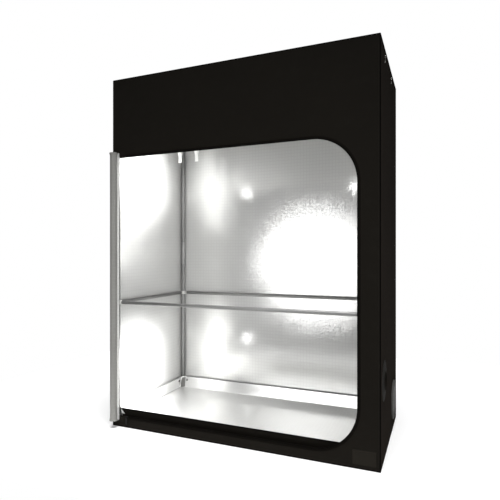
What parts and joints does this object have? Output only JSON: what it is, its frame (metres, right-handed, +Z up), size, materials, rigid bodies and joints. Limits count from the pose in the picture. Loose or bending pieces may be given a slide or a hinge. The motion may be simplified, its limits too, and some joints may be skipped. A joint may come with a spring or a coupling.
{
  "type": "indoor grow tent",
  "caption": "Free-standing box tent of black cloth with a reflecting lining over a tube frame, with a D-shaped zipped doorway, its door rolled aside, and a spill tray.",
  "frame": {"origin": "middle of the tent's footprint, on the underside of its floor", "axes": "+Z up, +X to the right of someone facing the doorway, -Y out through the doorway"},
  "size_m": [1.2163, 0.6444, 1.6443],
  "materials": {
    "steel": "satin zinc-plated tube",
    "joiner_steel": "satin zinc-plated tube, a little lighter",
    "black_plastic": "moulded, fine texture",
    "grey_plastic": "moulded, satin",
    "black_cloth": "coated woven polyester, matt, silver on the inside",
    "silver_cloth": "silver reflecting film with a fine embossed pattern, black on the other side",
    "vent_cloth": "fine nylon mesh and binding",
    "zip_metal": "black, slightly worn",
    "white_webbing": "flat woven webbing"
  },
  "bodies": {
    "tent_body": {"lower_post_front_left": "steel", "lower_post_front_right": "steel", "lower_post_rear_right": "steel", "lower_post_rear_left": "steel", "upper_post_front_left": "steel", "upper_post_front_right": "steel", "upper_post_rear_right": "steel", "upper_post_rear_left": "steel", "post_joiner_front_left": "joiner_steel", "post_joiner_front_right": "joiner_steel", "post_joiner_rear_right": "joiner_steel", "post_joiner_rear_left": "joiner_steel", "bottom_corner_front_left": "black_plastic", "bottom_corner_front_right": "black_plastic", "bottom_corner_rear_right": "black_plastic", "bottom_corner_rear_left": "black_plastic", "top_corner_front_left": "black_plastic", "top_corner_front_right": "black_plastic", "top_corner_rear_right": "black_plastic", "top_corner_rear_left": "black_plastic", "bottom_bar_front": "steel", "bottom_bar_rear": "steel", "bottom_bar_left": "steel", "bottom_bar_right": "steel", "top_bar_front": "steel", "top_bar_rear": "steel", "top_bar_left": "steel", "top_bar_right": "steel", "ring_bar_front": "steel", "ring_bar_rear": "steel", "ring_bar_left": "steel", "ring_bar_right": "steel", "ring_clip_front_left": "grey_plastic", "ring_clip_front_right": "grey_plastic", "ring_clip_rear_right": "grey_plastic", "ring_clip_rear_left": "grey_plastic", "ceiling_bar_front": "steel", "ceiling_hook_front_left": "black_plastic", "ceiling_hook_front_right": "black_plastic", "ceiling_bar_rear": "steel", "ceiling_hook_rear_left": "black_plastic", "ceiling_hook_rear_right": "black_plastic", "front_panel": "black_cloth", "left_wall": "black_cloth", "right_wall": "black_cloth", "back_wall": "black_cloth", "roof_panel": "black_cloth", "floor_panel": "black_cloth", "door_zip_tape": "black_cloth", "cable_sleeve": "black_cloth", "duct_sleeve": "black_cloth", "vent_ring": "vent_cloth", "vent_mesh": "vent_cloth"},
    "rolled_door": {"door_roll": "silver_cloth"},
    "slider": {"zip_slider": "zip_metal"},
    "pull": {"zip_pull": "zip_metal"},
    "tray": {"spill_tray": "silver_cloth"},
    "left_strap": {"hanging_strap_left": "white_webbing"},
    "right_strap": {"hanging_strap_right": "white_webbing"}
  },
  "joints": [
    {"name": "door_roll_swing", "type": "hinge", "parent": "tent_body", "child": "rolled_door", "pos_m": [-0.565, -0.3053, 0.6], "axis": [0, 0, 1], "range_deg": [0, 90]},
    {"name": "slider_run", "type": "slide", "parent": "tent_body", "child": "slider", "axis": [1, 0, 0], "range_m": [0, 0.85]},
    {"name": "pull_swing", "type": "hinge", "parent": "slider", "child": "pull", "pos_m": [-0.52, -0.3131, 0.049], "axis": [-1, 0, 0], "range_deg": [0, 110]},
    {"name": "tray_lift", "type": "slide", "parent": "tent_body", "child": "tray", "axis": [0, 0, 1], "range_m": [0, 0.45]},
    {"name": "left_strap_swing", "type": "hinge", "parent": "tent_body", "child": "left_strap", "pos_m": [-0.48, 0.085, 1.558], "axis": [1, 0, 0], "range_deg": [-40, 40]},
    {"name": "right_strap_swing", "type": "hinge", "parent": "tent_body", "child": "right_strap", "pos_m": [-0.38, 0.085, 1.558], "axis": [1, 0, 0], "range_deg": [-40, 40]}
  ]
}
